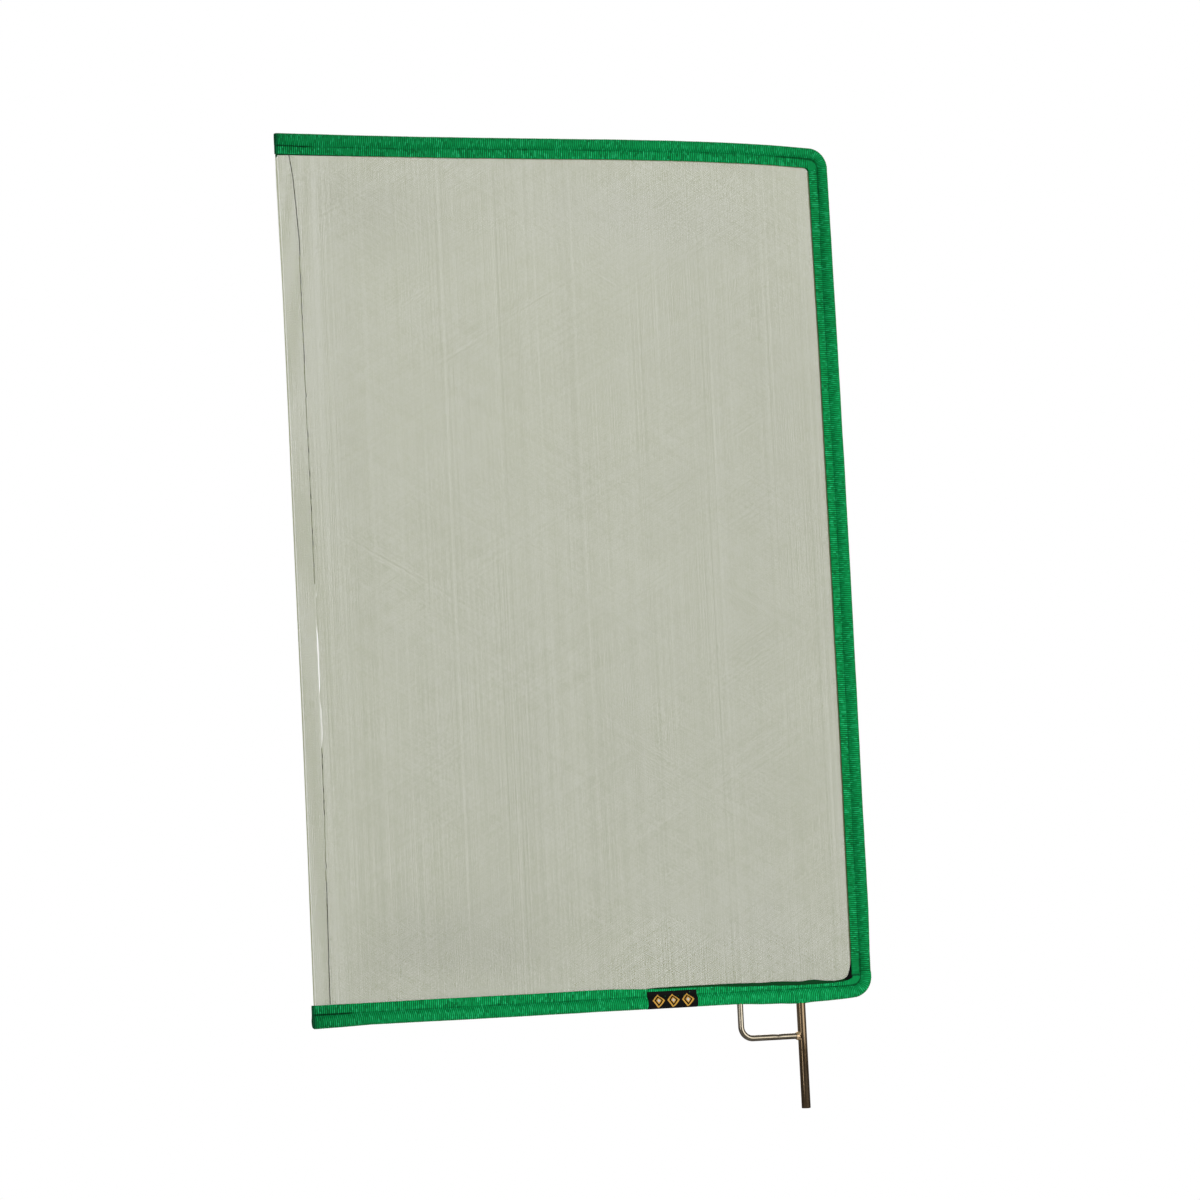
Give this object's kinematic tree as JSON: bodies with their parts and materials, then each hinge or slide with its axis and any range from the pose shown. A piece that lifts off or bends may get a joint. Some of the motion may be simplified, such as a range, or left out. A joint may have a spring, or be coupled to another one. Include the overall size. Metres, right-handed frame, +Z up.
{
  "type": "net flag",
  "caption": "Open-end net flag: a three-sided steel rod frame bound in folded green tape, holding a fine grey net, with a braced mounting pin.",
  "frame": {"origin": "centre of the lower end face of the mounting pin", "axes": "+Z up along the pin, +X across the flag towards its closed side, -Y out of its front face, where the label's front flap is"},
  "size_m": [0.6136, 0.013, 1.0337],
  "materials": {
    "steel": "plain drawn steel rod, brown-grey, half gloss",
    "weld_steel": "weld metal, satin",
    "green_tape": "cross-ribbed woven tape, slight sheen",
    "green_thread": "dark green sewing thread",
    "black_tape": "plain black stay tape",
    "grey_net": "fine warm grey net, partly see-through",
    "dark_line": "dark waxed cord",
    "black_label": "black woven label with a gold pattern"
  },
  "bodies": {
    "root": {"frame_rod": "steel", "pin": "steel", "brace_rod": "steel", "pin_weld": "weld_steel", "brace_arm_weld": "weld_steel", "brace_pin_weld": "weld_steel", "binding_top": "green_tape", "binding_side": "green_tape", "binding_bottom": "green_tape", "seam_top_front": "green_thread", "seam_top_back": "green_thread", "seam_side_front": "green_thread", "seam_side_back": "green_thread", "seam_bottom_front": "green_thread", "seam_bottom_back": "green_thread", "end_tack_top_front": "green_thread", "end_tack_top_back": "green_thread", "end_tack_bottom_front": "green_thread", "end_tack_bottom_back": "green_thread", "stay_tape_top": "black_tape", "stay_tape_side": "black_tape", "stay_tape_bottom": "black_tape", "net_panel": "grey_net", "edge_line": "dark_line", "label": "black_label"}
  },
  "joints": []
}
